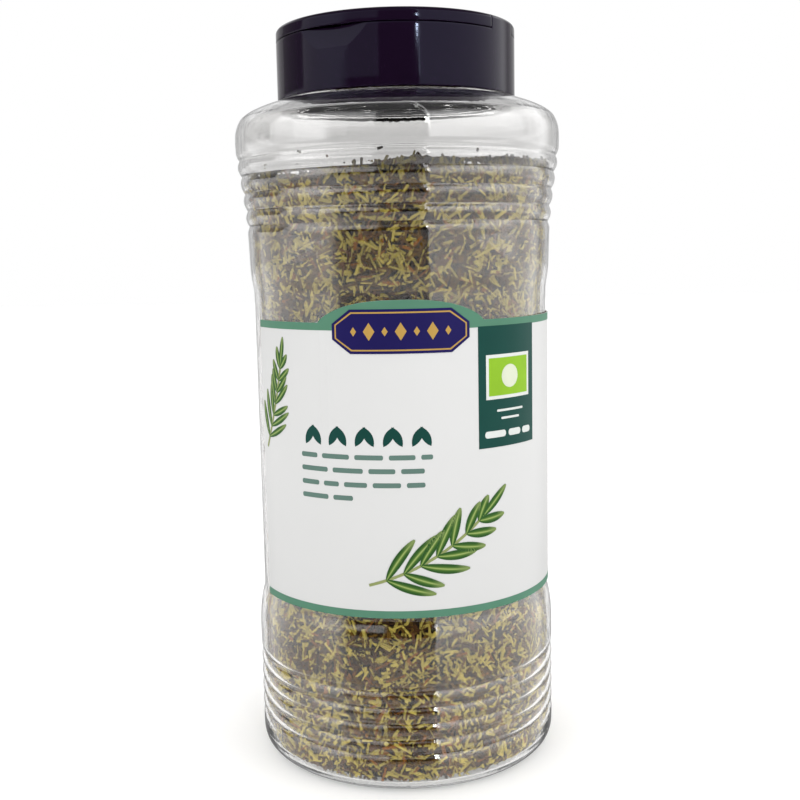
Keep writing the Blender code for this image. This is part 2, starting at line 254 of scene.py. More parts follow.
def hang_lamp(name, place, size, power, target, mirrored=False):
    """A square or upright area lamp that faces the jar."""
    data = bpy.data.lights.new(name, "AREA")
    data.energy = power
    if isinstance(size, tuple):
        data.shape = "RECTANGLE"
        data.size, data.size_y = size
    else:
        data.size = size
    lamp = bpy.data.objects.new(name, data)
    lamp.location = place
    lamp.rotation_euler = (Vector(target) - Vector(place)).to_track_quat("-Z", "Y").to_euler()
    lamp.visible_glossy = mirrored
    lamp.visible_camera = False
    bpy.context.scene.collection.objects.link(lamp)


for name, place, size, power in LAMPS:
    hang_lamp(name, place, size, power, (0.0, 0.0, 0.1))
hang_lamp("lamp_glint", GLINT_PLACE, GLINT_SIZE, GLINT_POWER, (0.0, 0.0, 0.12), mirrored=True)

# Jar: one blow-moulded clear plastic shell. It has a pushed-up foot, ribbed bands above and
# below the label panel, a wide shoulder and a neck with a moulded thread and a bead.
MM = 0.001
JAR_SEGMENTS = 136
PANEL_R = 41.9
WALL_STATIONS = ((6.5, 43.5), (38.0, 43.5), (42.5, 43.2), (45.8, 42.6), (47.8, PANEL_R), (134.4, PANEL_R),
                 (136.4, 42.35), (140.0, 42.8), (150.0, 43.1), (158.0, 43.8), (164.0, 44.6), (169.0, 45.4),
                 (173.5, 45.8), (178.0, 45.8))
GROOVES = (11.1, 15.5, 20.0, 24.5, 29.0, 152.5, 156.9, 161.6, 166.3, 170.7)
GROOVE_REACH = 2.3
GROOVE_DEPTH = 0.75
FOOT_LINE = ((0.0, 6.2), (12.0, 6.0), (22.0, 5.1), (29.0, 3.2), (33.0, 1.0), (34.8, 0.15), (36.5, 0.0),
             (38.5, 0.12), (40.9, 0.95), (42.6, 2.6), (43.35, 4.6), (43.5, 6.5))
SHOULDER_LINE = ((45.8, 174.5), (45.8, 176.4), (45.6, 178.6), (44.95, 180.5), (43.8, 182.2), (41.1, 183.9),
                 (36.4, 185.7), (32.8, 186.5), (31.0, 186.85), (30.3, 187.2))
JAR_WALL = 1.0
NECK_R = 30.2
NECK_INNER_R = 28.8
MOUTH_Z = 200.6
THREAD = {"start": 189.7, "pitch": 3.2, "turns": 1.2, "height": 1.1, "half": 0.85}


def smooth_line(points, steps):
    """A Catmull-Rom line through (radius, height) points, with steps parts between each two."""
    pts = [np.array(p, float) for p in points]
    pts = [2 * pts[0] - pts[1]] + pts + [2 * pts[-1] - pts[-2]]
    line = []
    for a, b, c, d in zip(pts, pts[1:], pts[2:], pts[3:]):
        for k in range(steps):
            t = k / steps
            line.append(0.5 * (2 * b + (c - a) * t + (2 * a - 5 * b + 4 * c - d) * t ** 2
                               + (3 * b - a - 3 * c + d) * t ** 3))
    line.append(pts[-2])
    return [(float(max(0.0, p[0])), float(max(0.0, p[1]))) for p in line]


def wall_radius(z):
    """Outer radius of the jar's side at height z, in mm, grooves included."""
    z = np.asarray(z, float)
    heights, radii = zip(*WALL_STATIONS)
    plain = sum(np.interp(z + d, heights, radii) for d in (-1.4, -0.7, 0.0, 0.7, 1.4)) / 5.0
    near = np.min([np.abs(z - g) for g in GROOVES], axis=0)
    return plain - GROOVE_DEPTH * np.clip(1.0 - near / GROOVE_REACH, 0.0, 1.0) ** 2


def turned(profile, segments):
    """Spin a profile of (radius, height) pairs in mm about Z into a bmesh in mm."""
    bm = bmesh.new()
    verts = [bm.verts.new((r, 0.0, z)) for r, z in profile]
    edges = [bm.edges.new(p) for p in zip(verts, verts[1:])]
    bmesh.ops.spin(bm, geom=verts + edges, cent=(0, 0, 0), axis=(0, 0, 1), angle=math.tau,
                   steps=segments, use_merge=True)
    bmesh.ops.remove_doubles(bm, verts=bm.verts, dist=1e-5)
    return bm


def settle(bm, name, material, sharp=40.0):
    """Turn a bmesh in mm into an object in metres with outward faces and one material."""
    bmesh.ops.recalc_face_normals(bm, faces=bm.faces)
    bmesh.ops.scale(bm, vec=(MM, MM, MM), verts=bm.verts)
    piece = from_bmesh(bm, name)
    piece.data.shade_smooth()
    piece.data.set_sharp_from_angle(angle=math.radians(sharp))
    piece.data.materials.append(material)
    return piece


def inset_line(line, depth):
    """The same line moved inwards, to the left of its direction of travel, by depth."""
    pts = np.array(line)
    run = np.gradient(pts, axis=0)
    run /= np.maximum(np.linalg.norm(run, axis=1, keepdims=True), 1e-9)
    side = np.stack([-run[:, 1], run[:, 0]], axis=1)
    moved = pts + side * np.asarray(depth).reshape(-1, 1)
    return [(float(max(0.0, r)), float(z)) for r, z in moved]


def thread_lift(angle, z):
    """Height of the thread ridge above the neck at an angle in turns and a height in mm."""
    lift = 0.0
    for whole in (0, 1):
        turn = angle + whole
        if turn > THREAD["turns"]:
            continue
        fade = min(1.0, turn / 0.08, (THREAD["turns"] - turn) / 0.08)
        off = abs(z - THREAD["start"] - THREAD["pitch"] * turn) / THREAD["half"]
        lift = max(lift, THREAD["height"] * fade * min(1.0, max(0.0, (1.0 - off) * 1.9)))
    return lift


def clear_plastic_material():
    """Clear PET: refracting for the eye, open to the lamps, with the faint waves of a blown wall."""
    mat, tree, shell = new_finish("clear_pet", Base_Color=(0.925, 0.92, 0.914, 1.0),
                                  Transmission_Weight=1.0, Roughness=0.0, IOR=1.5)
    place = tree.nodes.new("ShaderNodeTexCoord").outputs["Object"]
    stretch = add_node(tree, "ShaderNodeMapping", Vector=place, Scale=(90.0, 90.0, 28.0))
    add_relief(tree, shell, add_noise(tree, 5.0, place=stretch.outputs["Vector"]), 0.035, 0.0008)
    open_shell = add_node(tree, "ShaderNodeBsdfTransparent", Color=(0.95, 0.96, 0.955, 1.0))
    rays = tree.nodes.new("ShaderNodeLightPath")
    lamp_or_bounce = add_math(tree, "MAXIMUM", rays.outputs["Is Shadow Ray"], rays.outputs["Is Diffuse Ray"])
    mix = add_node(tree, "ShaderNodeMixShader", Fac=lamp_or_bounce)
    tree.links.new(shell.outputs["BSDF"], mix.inputs[1])
    tree.links.new(open_shell.outputs["BSDF"], mix.inputs[2])
    tree.links.new(mix.outputs["Shader"], tree.nodes["Material Output"].inputs["Surface"])
    return mat


foot = smooth_line(FOOT_LINE, 5)
rib_z = np.concatenate([np.arange(7.0, 32.0, 0.32), np.arange(32.5, 49.0, 0.9), np.arange(50.0, 134.0, 4.0),
                        np.arange(134.2, 149.5, 0.9), np.arange(150.0, 173.6, 0.32)])
side = [(float(r), float(z)) for r, z in zip(wall_radius(rib_z), rib_z)]
shoulder = smooth_line(SHOULDER_LINE, 6)
outside = foot + side + shoulder
thickness = np.interp([z for _, z in outside], (0.0, 8.0, 150.0, 187.0), (1.5, JAR_WALL, JAR_WALL, 1.35))
inside = [p for p in inset_line(outside, thickness) if p[0] < 1e-6 or p[1] < 185.4]
neck = [(NECK_R, 187.4), (31.45, 187.6), (31.6, 187.75), (31.6, 187.95), (31.45, 188.1)]
neck += [(NECK_R, float(z)) for z in np.arange(188.4, 199.9, 0.22)]
lip = [(30.15, 200.2), (29.95, 200.5), (29.6, MOUTH_Z), (29.3, MOUTH_Z), (29.0, 200.5), (NECK_INNER_R, 200.2)]
throat = [(NECK_INNER_R, 194.0), (NECK_INNER_R, 188.0), (28.95, 186.6), (29.6, 185.7)]
bm = turned(outside + neck + lip + throat + inside[::-1], JAR_SEGMENTS)
for vert in bm.verts:
    radius = math.hypot(vert.co.x, vert.co.y)
    if abs(radius - NECK_R) < 0.1 and 188.2 < vert.co.z < 199.9:
        turn = (math.atan2(vert.co.y, vert.co.x) / math.tau) % 1.0
        grown = 1.0 + thread_lift(turn, vert.co.z) / radius
        vert.co.x *= grown
        vert.co.y *= grown
clear_jar = settle(bm, "clear_jar", clear_plastic_material(), sharp=50.0)
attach(clear_jar, "jar")
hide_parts("jar_body")

# Herb fill: dried rosemary leaves cut into short needles. They fill the jar to just under the
# shoulder, lie pressed along the clear wall, heap a little in the middle, and a few loose bits
# cling to the wall above. Each needle is a narrow leaf with curled edges and a groove on top.
FILL_TOP_Z = 166.8
LOWEST_NEEDLE = 0.0017
FILL_FLOOR = ((0.0, 8.0), (14.0, 7.7), (28.0, 6.1), (34.0, 2.6), (38.0, 2.0))
MOUND_HEIGHT = 1.8
HERB_TILT = 1.1
TOP_SHADE = 0.3
# Painted light on the lowest needles, standing in for the floor's bounce
FOOT_PAINTED_LIGHT = 1.45
BACK_STRIP = (-119.0, -61.0)
LAYER_SHARE = (1.0, 0.8)
# Lightness range of each layer's needles: the front layer's is a random spread of tone, the back layer's is
# painted shade.
LAYER_TONE_AND_SHADE = ((0.6, 1.08), (0.08, 0.32))
NEEDLE_KINDS = ((4.8, 0.75, 0.56, 0.25, 0.1), (3.8, 0.9, 0.55, 0.15, 0.0), (6.0, 0.65, 0.55, 0.3, -0.15),
                (3.0, 0.95, 0.6, 0.1, 0.0), (4.4, 0.7, 0.55, 0.3, 0.0), (4.0, 1.1, 0.5, 0.1, 0.0))
HERB_TONES = ((0.0, (200, 180, 88)), (0.38, (112, 82, 28)), (0.58, (80, 52, 22)), (0.72, (56, 40, 16)),
              (0.83, (108, 74, 46)), (0.91, (150, 94, 34)), (0.95, (30, 19, 10)))


def linear(colour):
    """A colour given as 0 to 255 display values, as the shader's linear values."""
    return tuple((c / 255.0 / 12.92) if c / 255.0 <= 0.04045 else ((c / 255.0 + 0.055) / 1.055) ** 2.4
                 for c in colour)


def add_ramp(tree, value, stops, kind="LINEAR", dim=1.0):
    """A colour ramp over a value, from (stop, display colour) pairs, dimmed by a factor."""
    ramp = add_node(tree, "ShaderNodeValToRGB", Fac=value)
    ramp.color_ramp.interpolation = kind
    for n, (stop, colour) in enumerate(stops):
        mark = ramp.color_ramp.elements[n] if n < 2 else ramp.color_ramp.elements.new(stop)
        mark.position = stop
        mark.color = (*(c * dim for c in linear(colour)), 1.0)
    return ramp.outputs["Color"]


def add_blend(tree, factor, first, second, kind="MIX"):
    """Mix two colours by a factor, and return the outcome."""
    mix = add_node(tree, "ShaderNodeMix", {"data_type": "RGBA", "blend_type": kind}, Factor=factor)
    feed(tree, mix.inputs[6], first)
    feed(tree, mix.inputs[7], second)
    return mix.outputs[2]


def herb_material(name):
    """Dried leaf: each needle has its own tone, mottled along its length, matt and finely rough, and darkened
    by its depth attribute, which holds painted shade.
    """
    mat, tree, leaf = new_finish(name, Roughness=0.9, Specular_IOR_Level=0.03)
    tone, depth = (add_node(tree, "ShaderNodeAttribute", {"attribute_name": label}).outputs["Fac"]
                   for label in ("tone", "depth"))
    mottle = add_noise(tree, 700.0, 3.0)
    span = add_node(tree, "ShaderNodeMapRange", Value=mottle, To_Min=0.4, To_Max=0.85)
    # Painted shade: the mottle is multiplied by the depth attribute, which darkens the back needles, the
    # heap's top edge and the core.
    dark = add_math(tree, "MULTIPLY", span.outputs["Result"], depth)
    tinted = add_blend(tree, 1.0, add_ramp(tree, tone, HERB_TONES, "CONSTANT"), dark, "MULTIPLY")
    tree.links.new(tinted, leaf.inputs["Base Color"])
    add_relief(tree, leaf, mottle, 0.5, 0.0001)
    return mat


def cut_needle(kind, shape):
    """One cut needle along X: a narrow leaf, crowned and grooved on top, with curled edges."""
    length, width, thick, taper, bend = shape
    bm = bmesh.new()
    rings = []
    for t in ((-1.0, 0.1, 1.0) if bend else (-1.0, 1.0)):
        narrow = 1.0 - taper * max(0.0, t) * 0.8
        lift = bend * (1.0 - t * t)
        half = width * narrow / 2
        cross = ((-half, -0.35 * thick), (-half * 0.55, 0.5 * thick), (0.0, 0.25 * thick),
                 (half * 0.55, 0.5 * thick), (half, -0.35 * thick))
        rings.append([bm.verts.new((t * length / 2, y, z + lift)) for y, z in cross])
    for near, far in zip(rings, rings[1:]):
        for k in range(5):
            bm.faces.new((near[k], near[(k + 1) % 5], far[(k + 1) % 5], far[k]))
    bm.faces.new(rings[0])
    bm.faces.new(rings[-1])
    bmesh.ops.recalc_face_normals(bm, faces=bm.faces)
    bmesh.ops.scale(bm, vec=(MM, MM, MM), verts=bm.verts)
    from_bmesh(bm, f"needle_{kind}", needle_kinds)


needle_kinds = bpy.data.collections.new("needle_kinds")
bpy.context.scene.collection.children.link(needle_kinds)
for kind, shape in enumerate(NEEDLE_KINDS):
    cut_needle(kind, shape)


def add_vector(tree, operation, first, second):
    """Add a Vector Math node, and return its output."""
    step = add_node(tree, "ShaderNodeVectorMath", {"operation": operation})
    feed(tree, step.inputs[0], first)
    feed(tree, step.inputs["Scale" if operation == "SCALE" else 1], second)
    return step.outputs["Vector"]


def scatter_tree():
    """Geometry Nodes: two layers of needles on a surface, one pressed flat and one behind it, with the one
    behind painted darker as shade.
    """
    tree = bpy.data.node_groups.new("scatter_needles", "GeometryNodeTree")
    sockets = [("Surface", "Geometry"), ("Needles", "Collection"), ("Finish", "Material")]
    sockets += [(label, "Float") for label in ("Per Square Metre", "Lean", "Back Lean", "Back Depth",
                                               "Smallest", "Largest", "Spacing")]
    for label, kind in sockets + [("Seed", "Int")]:
        tree.interface.new_socket(label, in_out="INPUT", socket_type="NodeSocket" + kind)
    tree.interface.new_socket("Herb", in_out="OUTPUT", socket_type="NodeSocketGeometry")
    given = tree.nodes.new("NodeGroupInput").outputs
    kinds = add_node(tree, "GeometryNodeCollectionInfo", Collection=given["Needles"],
                     Separate_Children=True, Reset_Children=True)
    join = tree.nodes.new("GeometryNodeJoinGeometry")

    def random_value(kind, low, high, seed):
        low_slot, high_slot, out = {"FLOAT": (2, 3, 1), "INT": (4, 5, 2), "FLOAT_VECTOR": (0, 1, 0)}[kind]
        draw = add_node(tree, "FunctionNodeRandomValue", {"data_type": kind}, Seed=seed)
        feed(tree, draw.inputs[low_slot], low)
        feed(tree, draw.inputs[high_slot], high)
        return draw.outputs[out]

    def triple(x, y, z):
        return add_node(tree, "ShaderNodeCombineXYZ", X=x, Y=y, Z=z).outputs[0]

    for layer, lean_name in enumerate(("Lean", "Back Lean")):
        spread = add_node(
            tree, "GeometryNodeDistributePointsOnFaces", {"distribute_method": "POISSON"},
            Mesh=given["Surface"], Distance_Min=given["Spacing"],
            Density_Max=add_math(tree, "MULTIPLY", given["Per Square Metre"], LAYER_SHARE[layer]),
            Seed=add_math(tree, "ADD", given["Seed"], 17.0 * layer)).outputs
        sunk = add_math(tree, "MULTIPLY", given["Back Depth"], -float(layer))
        move = add_node(tree, "GeometryNodeSetPosition", Geometry=spread["Points"],
                        Offset=add_vector(tree, "SCALE", spread["Normal"], sunk))
        smallest = triple(given["Smallest"], 0.75, 0.75)
        largest = triple(given["Largest"], 1.2, 1.2)
        plant = add_node(
            tree, "GeometryNodeInstanceOnPoints", Points=move.outputs["Geometry"],
            Instance=kinds.outputs["Instances"], Pick_Instance=True,
            Instance_Index=random_value("INT", 0, len(NEEDLE_KINDS) - 1, 3 + layer),
            Rotation=spread["Rotation"], Scale=random_value("FLOAT_VECTOR", smallest, largest, 7 + layer))
        lean = given[lean_name]
        back = add_math(tree, "MULTIPLY", lean, -1.0)
        turn = random_value("FLOAT_VECTOR", triple(back, back, 0.0), triple(lean, lean, math.tau), 11 + layer)
        herb = plant.outputs["Instances"]
        for axes in ((0.0, 0.0, 1.0), (1.0, 1.0, 0.0)):
            herb = add_node(tree, "GeometryNodeRotateInstances", Instances=herb,
                            Rotation=add_vector(tree, "MULTIPLY", turn, axes)).outputs["Instances"]
        # The depth attribute holds each needle's lightness, with painted shade on the back layer.
        for label, (low, high), seed in (("tone", (0.0, 1.0), 23), ("depth", LAYER_TONE_AND_SHADE[layer], 31)):
            herb = add_node(tree, "GeometryNodeStoreNamedAttribute",
                            {"data_type": "FLOAT", "domain": "INSTANCE"}, Name=label, Geometry=herb,
                            Value=random_value("FLOAT", low, high, seed + layer)).outputs["Geometry"]
        tree.links.new(herb, join.inputs["Geometry"])
    real = add_node(tree, "GeometryNodeRealizeInstances", Geometry=join.outputs["Geometry"])
    finish = add_node(tree, "GeometryNodeSetMaterial", Geometry=real.outputs["Geometry"],
                      Material=given["Finish"])
    tree.links.new(finish.outputs["Geometry"], tree.nodes.new("NodeGroupOutput").inputs["Herb"])
    return tree


def packed_radius(z):
    """How far out a needle may lie at height z, in mm: just inside the clear wall."""
    z = np.asarray(z, float)
    base = np.interp(z, (1.5, 2.6, 4.6, 7.0), (38.5, 40.6, 42.0, 42.3))
    return np.minimum(wall_radius(np.maximum(z, 7.0)) - JAR_WALL - 0.12, np.where(z < 7.0, base, 99.0))


def herb_rise(a):
    """Rise of the herb's top edge in mm, at a turn of a radians from the front: a tilt and a wave."""
    wave = 0.7 * math.sin(2 * a + 0.6) + 0.5 * math.sin(5 * a + 1.9) + 0.35 * math.sin(11 * a)
    return wave + HERB_TILT * math.sin(a)


def fill_surface(low, high, start, stop, inset, rise=1.0):
    """A band of the herb's outer surface between two heights and two angles, as an object."""
    rows = max(2, int((high - low) / 1.5))
    columns = max(3, int((stop - start) / 3.0))
    bm = bmesh.new()
    grid = []
    for i in range(rows + 1):
        z = low + (high - low) * i / rows
        radius = float(packed_radius(z)) - inset
        line = []
        for k in range(columns + 1):
            a = math.radians(start + (stop - start) * k / columns)
            top = herb_rise(a) * max(0.0, (z - high + 8.0) / 8.0) * rise
            line.append(bm.verts.new((radius * math.sin(a), -radius * math.cos(a), z + top)))
        grid.append(line)
    for a, b in zip(grid, grid[1:]):
        for k in range(columns):
            bm.faces.new((a[k], a[k + 1], b[k + 1], b[k]))
    bmesh.ops.scale(bm, vec=(MM, MM, MM), verts=bm.verts)
    return from_bmesh(bm, "herb_surface")


def scatter(surface, name, **sizes):
    """Run the scatter tree on a surface, keep the needles as one plain mesh inside the wall, and paint shade
    under the heap's top edge and light near the foot into their depth attribute.
    """
    mod = surface.modifiers.new("scatter", "NODES")
    mod.node_group = needle_scatter
    sockets = {item.name: item.identifier for item in needle_scatter.interface.items_tree
               if item.in_out == "INPUT"}
    mod[sockets["Needles"]] = needle_kinds
    mod[sockets["Finish"]] = dried_needles
    for label, value in sizes.items():
        mod[sockets[label.replace("_", " ").title()]] = value
    bpy.context.view_layer.update()
    graph = bpy.context.evaluated_depsgraph_get()
    mesh = bpy.data.meshes.new_from_object(surface.evaluated_get(graph), depsgraph=graph)
    bpy.data.objects.remove(surface)
    points = np.empty(len(mesh.vertices) * 3, np.float32)
    mesh.vertices.foreach_get("co", points)
    points = points.reshape(-1, 3)
    radius = np.hypot(points[:, 0], points[:, 1])
    most = packed_radius(points[:, 2] / MM) * MM
    points[:, :2] *= np.minimum(1.0, most / np.maximum(radius, 1e-6))[:, None]
    points[:, 2] = np.maximum(points[:, 2], LOWEST_NEEDLE)
    mesh.vertices.foreach_set("co", points.ravel())
    # Painted shade: needles within a few mm under the heap's top edge are darkened through their depth
    # attribute.
    under_top = (FILL_TOP_Z + HERB_TILT * points[:, 0] / 0.042) - points[:, 2] / MM
    shade = TOP_SHADE + (1.0 - TOP_SHADE) * np.clip((under_top - 1.0) / 2.5, 0.0, 1.0)
    # Painted light: needles near the floor are lightened, as if lit by light bounced off the floor.
    shade *= np.interp(points[:, 2], (0.0, 0.1), (FOOT_PAINTED_LIGHT, 1.0))
    depth = np.empty(len(mesh.vertices), np.float32)
    mesh.attributes["depth"].data.foreach_get("value", depth)
    mesh.attributes["depth"].data.foreach_set("value", depth * shade.astype(np.float32))
    mesh.name = name
    piece = bpy.data.objects.new(name, mesh)
    bpy.context.scene.collection.objects.link(piece)
    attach(piece, "jar")


needle_scatter = scatter_tree()
dried_needles = herb_material("dried_rosemary")

# The imported mass behind the needles, with a rough skin, so no gap between them shows daylight, painted
# nearly black as the shade deep inside the fill
core_rows = list(FILL_FLOOR)
for z in np.arange(6.0, FILL_TOP_Z + 0.5, 1.6):
    core_rows.append((float(packed_radius(z)) - (2.2 if z < 164.0 else 1.4), float(z)))
for r in (38.0, 32.0, 26.0, 20.0, 14.0, 8.0, 3.0, 0.0):
    core_rows.append((r, FILL_TOP_Z - 0.2 + MOUND_HEIGHT * (1 - r / 42.0)))
bm = turned(core_rows, 120)
lumps = random.Random(5)
for vert in bm.verts:
    radius = math.hypot(vert.co.x, vert.co.y)
    if radius > 1.0 and vert.co.z > 5.0:
        vert.co.x *= 1.0 - lumps.uniform(0.0, 0.9) / radius
        vert.co.y *= 1.0 - lumps.uniform(0.0, 0.9) / radius
        vert.co.z += lumps.uniform(-0.5, 0.3) if radius > 36 or vert.co.z > 160 else 0.0
    lifted = max(0.0, (vert.co.z - FILL_TOP_Z + 8.0) / 8.0) * min(1.0, radius / 38.0)
    vert.co.z += herb_rise(math.atan2(vert.co.x, -vert.co.y)) * lifted
rosemary_core = settle(bm, "rosemary_core", dried_needles, sharp=20.0)
# Painted shade: the core's depth attribute is kept very low, so it reads as the dark depths of the fill.
for label, low, high in (("tone", 0.0, 1.0), ("depth", 0.03, 0.1)):
    values = rosemary_core.data.attributes.new(label, "FLOAT", "FACE").data
    values.foreach_set("value", [lumps.uniform(low, high) for _ in range(len(values))])
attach(rosemary_core, "jar")
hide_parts("rosemary")

BAND = dict(per_square_metre=1400000.0, lean=0.09, back_lean=0.4, back_depth=0.0012, smallest=0.55,
            largest=1.15, spacing=0.00078)
for half, (start, stop) in enumerate(((-90.0, 90.0), (90.0, 270.0))):
    scatter(fill_surface(121.0, FILL_TOP_Z - 0.6, start, stop, 0.65), f"needles_upper_{half}",
            seed=1 + half, **BAND)
    scatter(fill_surface(4.0, 53.0, start, stop, 0.65, 0.0), f"needles_lower_{half}", seed=5 + half, **BAND)
scatter(fill_surface(50.0, 124.0, *BACK_STRIP, 0.65, 0.0), "needles_strip", seed=3, **BAND)
scatter(fill_surface(FILL_TOP_Z - 2.8, FILL_TOP_Z - 0.1, 0.0, 360.0, 1.0), "needles_rim", seed=12,
        per_square_metre=420000.0, lean=0.25, back_lean=0.35, back_depth=0.0012, smallest=0.35,
        largest=0.7, spacing=0.0006)

# The heap's top, where needles lie at all angles, seen from above when the cap is off
mound_rows = [(41.0, FILL_TOP_Z - 1.0)]
mound_rows += [(r, FILL_TOP_Z + MOUND_HEIGHT * (1 - r / 42.0)) for r in np.arange(40.0, -0.1, -2.5)]
bm = turned(mound_rows, 60)
bmesh.ops.recalc_face_normals(bm, faces=bm.faces)
if sum(f.normal.z for f in bm.faces) < 0:
    bmesh.ops.reverse_faces(bm, faces=bm.faces)
for vert in bm.verts:
    radius = math.hypot(vert.co.x, vert.co.y)
    vert.co.z += herb_rise(math.atan2(vert.co.x, -vert.co.y)) * min(1.0, radius / 38.0)
bmesh.ops.scale(bm, vec=(MM, MM, MM), verts=bm.verts)
scatter(from_bmesh(bm, "mound"), "needles_heap", seed=4, per_square_metre=420000.0, lean=0.35,
        back_lean=0.6, back_depth=0.001, smallest=0.4, largest=1.1, spacing=0.0006)

# A few bits that cling to the wall above the heap
scatter(fill_surface(FILL_TOP_Z + 1.6, FILL_TOP_Z + 5.5, 0.0, 360.0, 0.35, 0.0), "needles_clinging", seed=9,
        per_square_metre=6000.0, lean=0.05, back_lean=0.1, back_depth=0.0, smallest=0.1, largest=0.28,
        spacing=0.002)
for stray in list(needle_kinds.objects):
    bpy.data.objects.remove(stray)
bpy.data.collections.remove(needle_kinds)

# Label: a printed plastic-film wrap with an arched tab at the front, glued round the panel.
# It stops short of a full turn, so a clear strip on the back left shows the fill level.
LABEL_INNER_R = 42.2
LABEL_R = 42.5
LABEL_LOW_Z = 49.1
LABEL_HIGH_Z = 127.0
LABEL_ARCH_Z = 132.7
LABEL_ARCH_HALF = 30.5
LABEL_START = -65.5
LABEL_SPAN = 310.0
BAND_H = 2.0
INK_LIFT = 0.035
PRINT_DIM = 0.71
LABEL_WHITE = (226, 226, 225)
INK_GREEN = (92, 140, 116)
INK_DARK_GREEN = (25, 72, 65)
INK_NAVY = (33, 28, 88)
INK_GOLD = (196, 158, 84)
INK_LIME = (150, 198, 52)
INK_GREY_GREEN = (104, 132, 122)


def label_top(angle):
    """Height of the label's top edge at an angle in degrees."""
    reach = min(1.0, abs(angle) / LABEL_ARCH_HALF)
    return LABEL_HIGH_Z + (LABEL_ARCH_Z - LABEL_HIGH_Z) * (1.0 - reach ** 2.6) ** 0.8


def film_material():
    """White printed film: semi-gloss, with a faint orange-peel and slight clouds of the glue."""
    mat, tree, film = new_finish("label_film", Roughness=0.42, Specular_IOR_Level=0.1)
    pale, bright = ((*(c * gain * PRINT_DIM for c in linear(LABEL_WHITE)), 1.0) for gain in (1.02, 1.05))
    tree.links.new(add_blend(tree, add_noise(tree, 45.0), pale, bright), film.inputs["Base Color"])
    add_relief(tree, film, add_noise(tree, 1500.0), 0.08, 0.0001)
    return mat


def ink_material(name, colour):
    """Flat printing ink with the slight density drift of a press, and the film's own sheen."""
    mat, tree, ink = new_finish(name, Roughness=0.4, Specular_IOR_Level=0.05)
    full = [c * PRINT_DIM for c in linear(colour)]
    thin = (*(c * 0.9 for c in full), 1.0)
    thick = (*(min(1.0, c * 1.1) for c in full), 1.0)
    tree.links.new(add_blend(tree, add_noise(tree, 160.0, 4.0), thin, thick), ink.inputs["Base Color"])
    return mat


bm = bmesh.new()
columns = 300
rings = []
for i in range(columns + 1):
    degrees = LABEL_START + LABEL_SPAN * i / columns
    a = math.radians(degrees)
    top = label_top(degrees)
    section = ((LABEL_INNER_R, LABEL_LOW_Z), (LABEL_R - 0.05, LABEL_LOW_Z), (LABEL_R, LABEL_LOW_Z + 0.08),
               (LABEL_R, 88.0), (LABEL_R, top - 0.08), (LABEL_R - 0.05, top), (LABEL_INNER_R, top),
               (LABEL_INNER_R, 88.0))
    rings.append([bm.verts.new((r * math.sin(a), -r * math.cos(a), z)) for r, z in section])
for near, far in zip(rings, rings[1:]):
    for k in range(8):
        bm.faces.new((near[k], near[(k + 1) % 8], far[(k + 1) % 8], far[k]))
bm.faces.new(rings[0])
bm.faces.new(rings[-1])
label_film = settle(bm, "label_film", film_material(), sharp=35.0)
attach(label_film, "jar")
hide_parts("label")


def wrap_print(name, outlines, colour, level=0):
    """Lay flat inked shapes on the label as one thin piece. An outline is (x, z) pairs in mm,
    where x is the distance round the label from its front; level lifts an ink over another."""
    bm = bmesh.new()
    for outline in outlines:
        bm.faces.new([bm.verts.new((x, 0.0, z)) for x, z in outline])
    low = min(v.co.x for v in bm.verts)
    high = max(v.co.x for v in bm.verts)
    for x in np.arange(math.ceil(low / 1.4) * 1.4, high, 1.4):
        parts = list(bm.verts) + list(bm.edges) + list(bm.faces)
        bmesh.ops.bisect_plane(bm, geom=parts, dist=1e-5, plane_co=(float(x), 0, 0), plane_no=(1, 0, 0))
    bmesh.ops.triangulate(bm, faces=[f for f in bm.faces if len(f.verts) > 4])
    for face in bm.faces:
        if face.normal.y > 0:
            face.normal_flip()
    outer = LABEL_R + INK_LIFT * (1 + level)
    raised = bmesh.ops.extrude_face_region(bm, geom=list(bm.faces), use_keep_orig=True)
    tops = {v for v in raised["geom"] if isinstance(v, bmesh.types.BMVert)}
    for vert in bm.verts:
        a = vert.co.x / LABEL_R
        radius = outer if vert in tops else LABEL_R - 0.02
        vert.co = (radius * math.sin(a), -radius * math.cos(a), vert.co.z)
    piece = settle(bm, name, ink_material(name + "_ink", colour), sharp=30.0)
    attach(piece, "jar")


def around(degrees):
    """Distance round the label, in mm, of an angle from the front."""
    return math.radians(degrees) * LABEL_R


def box(x0, z0, x1, z1, corner=0.0):
    """A rectangle in the label's own plane, with rounded corners if asked."""
    if corner <= 0.0:
        return [(x0, z0), (x1, z0), (x1, z1), (x0, z1)]
    points = []
    for cx, cz, start in ((x1 - corner, z1 - corner, 0), (x0 + corner, z1 - corner, 90),
                          (x0 + corner, z0 + corner, 180), (x1 - corner, z0 + corner, 270)):
        for k in range(6):
            a = math.radians(start + 18 * k)
            points.append((cx + corner * math.cos(a), cz + corner * math.sin(a)))
    return points


start_x = around(LABEL_START)
end_x = around(LABEL_START + LABEL_SPAN)
edge_degrees = np.linspace(LABEL_START, LABEL_START + LABEL_SPAN, 311)
top_band = [(around(d), label_top(d) - 0.02) for d in edge_degrees]
lower_line = [(around(d), LABEL_HIGH_Z - BAND_H) for d in edge_degrees]
bands = [box(start_x + 0.02, LABEL_LOW_Z + 0.02, end_x - 0.02, LABEL_LOW_Z + BAND_H)]
bands += [[a, b, d, c] for a, b, c, d in zip(lower_line, lower_line[1:], top_band, top_band[1:])]
wrap_print("print_bands", bands, INK_GREEN)

